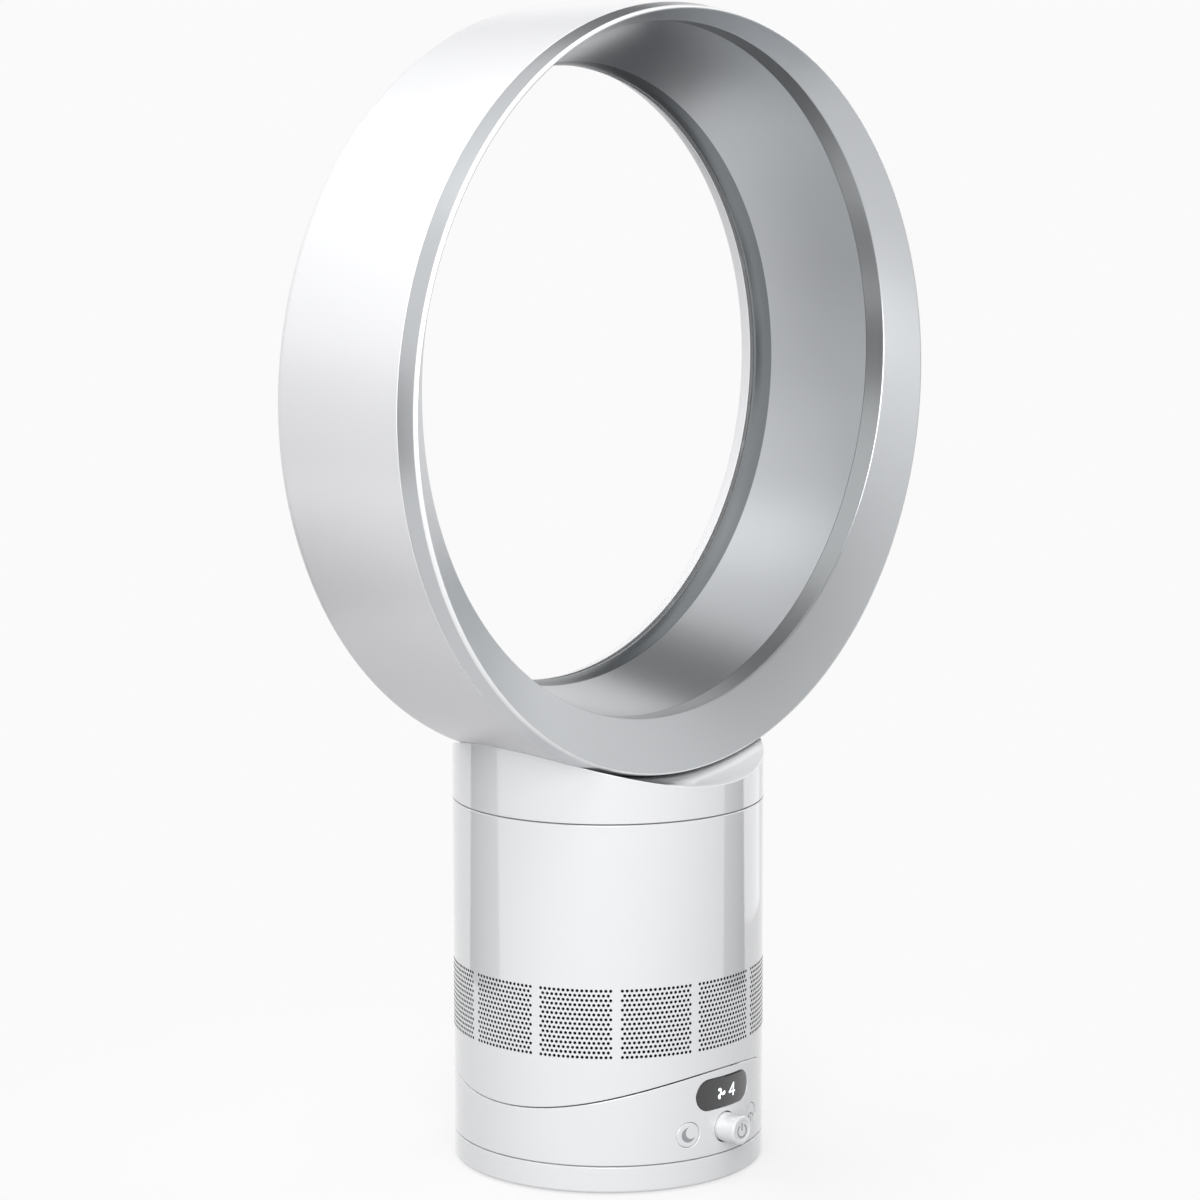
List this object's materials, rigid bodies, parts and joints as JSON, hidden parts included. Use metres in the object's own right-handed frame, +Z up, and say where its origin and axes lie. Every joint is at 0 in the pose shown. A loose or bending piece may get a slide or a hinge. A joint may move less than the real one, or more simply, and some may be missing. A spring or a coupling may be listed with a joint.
{
  "type": "bladeless desk fan",
  "caption": "Bladeless table fan: a round air loop on a cylindrical base with hidden impeller, perforated inlet band, display, knob and push buttons; base swings and tilts.",
  "frame": {"origin": "centre of the rest face under the rubber foot, on the vertical axis of the base", "axes": "+Z up; the display, the knob and the air outlet face -Y; the oscillation button lies at +X and the sleep timer button at -X"},
  "size_m": [0.306, 0.1359, 0.4694],
  "materials": {
    "gloss_white": "gloss",
    "satin_silver": "satin metallic",
    "lens_black": "polished",
    "grey_rubber": "matte",
    "light_plastic": "matte",
    "bearing_plastic": "satin",
    "black_plastic": "matte",
    "zinc_screw": "satin",
    "spring_steel": "satin",
    "motor_case": "satin",
    "board_green": "satin",
    "winding": "satin",
    "magnet": "matte",
    "dark_foam": "matte"
  },
  "bodies": {
    "foot": {"foot_shell": "gloss_white", "rubber_foot": "grey_rubber", "base_plate": "light_plastic", "base_screws": "zinc_screw", "pivot_spindle": "spring_steel", "oscillation_gear": "bearing_plastic", "spindle_clip": "spring_steel", "thrust_ring": "bearing_plastic", "power_jack": "black_plastic"},
    "control_base": {"control_housing": "gloss_white", "display_lens": "lens_black", "display_board": "board_green", "tact_switches": "spring_steel", "dial_switch": "black_plastic", "control_board": "board_green", "oscillation_motor": "motor_case", "motor_screws": "zinc_screw", "tilt_cradle": "gloss_white", "tilt_brakes": "grey_rubber"},
    "drive_pinion": {"oscillation_pinion": "bearing_plastic"},
    "dial_stem": {"dial_plunger": "spring_steel"},
    "dial": {"dial_knob": "gloss_white"},
    "sleep_button": {"sleep_timer_button": "gloss_white"},
    "swing_button": {"oscillation_button": "gloss_white"},
    "main_body": {"body_shell": "gloss_white", "tilt_shoe": "light_plastic", "inlet_foam": "dark_foam", "impeller_housing": "light_plastic", "housing_mount": "grey_rubber", "motor_bucket": "light_plastic", "bucket_cap": "light_plastic", "bearing_bridge": "light_plastic", "diffuser": "light_plastic", "motor_stator": "winding", "motor_bearings": "spring_steel", "driver_board": "board_green", "bucket_foam": "dark_foam", "outlet_collar": "gloss_white"},
    "rotor": {"impeller": "light_plastic", "motor_shaft": "spring_steel", "rotor_magnet": "magnet"},
    "nozzle": {"nozzle_neck": "gloss_white", "neck_seal": "grey_rubber", "outer_casing": "gloss_white", "inner_casing": "satin_silver", "front_trim": "satin_silver", "slot_spacers": "light_plastic"}
  },
  "joints": [
    {"name": "oscillation", "type": "hinge", "parent": "foot", "child": "control_base", "pos_m": [0, 0, 0.0116], "axis": [0, 0, 1], "range_deg": [-45, 45]},
    {"name": "pinion_turn", "type": "hinge", "parent": "control_base", "child": "drive_pinion", "pos_m": [0, 0.036, 0.0176], "axis": [0, 0, 1], "range_deg": [-225, 225]},
    {"name": "tilt", "type": "hinge", "parent": "control_base", "child": "main_body", "pos_m": [0, 0, 0.1881], "axis": [1, 0, 0], "range_deg": [-10, 10]},
    {"name": "impeller_spin", "type": "hinge", "parent": "main_body", "child": "rotor", "pos_m": [0, 0, 0.09], "axis": [0, 0, 1], "continuous": true},
    {"name": "nozzle_twist", "type": "hinge", "parent": "main_body", "child": "nozzle", "pos_m": [0, 0, 0.1502], "axis": [0, 0, 1], "range_deg": [0, 15]},
    {"name": "dial_push", "type": "slide", "parent": "control_base", "child": "dial_stem", "axis": [0, 1, 0], "range_m": [0, 0.0012], "stiffness_N_per_m": 700, "springref_m": -0.0007},
    {"name": "dial_turn", "type": "hinge", "parent": "dial_stem", "child": "dial", "pos_m": [0, -0.066, 0.0221], "axis": [0, 1, 0], "continuous": true},
    {"name": "sleep_timer_push", "type": "slide", "parent": "control_base", "child": "sleep_button", "axis": [0, 1, 0], "range_m": [0, 0.001], "stiffness_N_per_m": 600, "springref_m": -0.0007},
    {"name": "oscillation_push", "type": "slide", "parent": "control_base", "child": "swing_button", "axis": [0, 1, 0], "range_m": [0, 0.001], "stiffness_N_per_m": 600, "springref_m": -0.0007}
  ],
  "couplings": [
    {"joint": "pinion_turn", "follows": "oscillation", "ratio": 5}
  ]
}
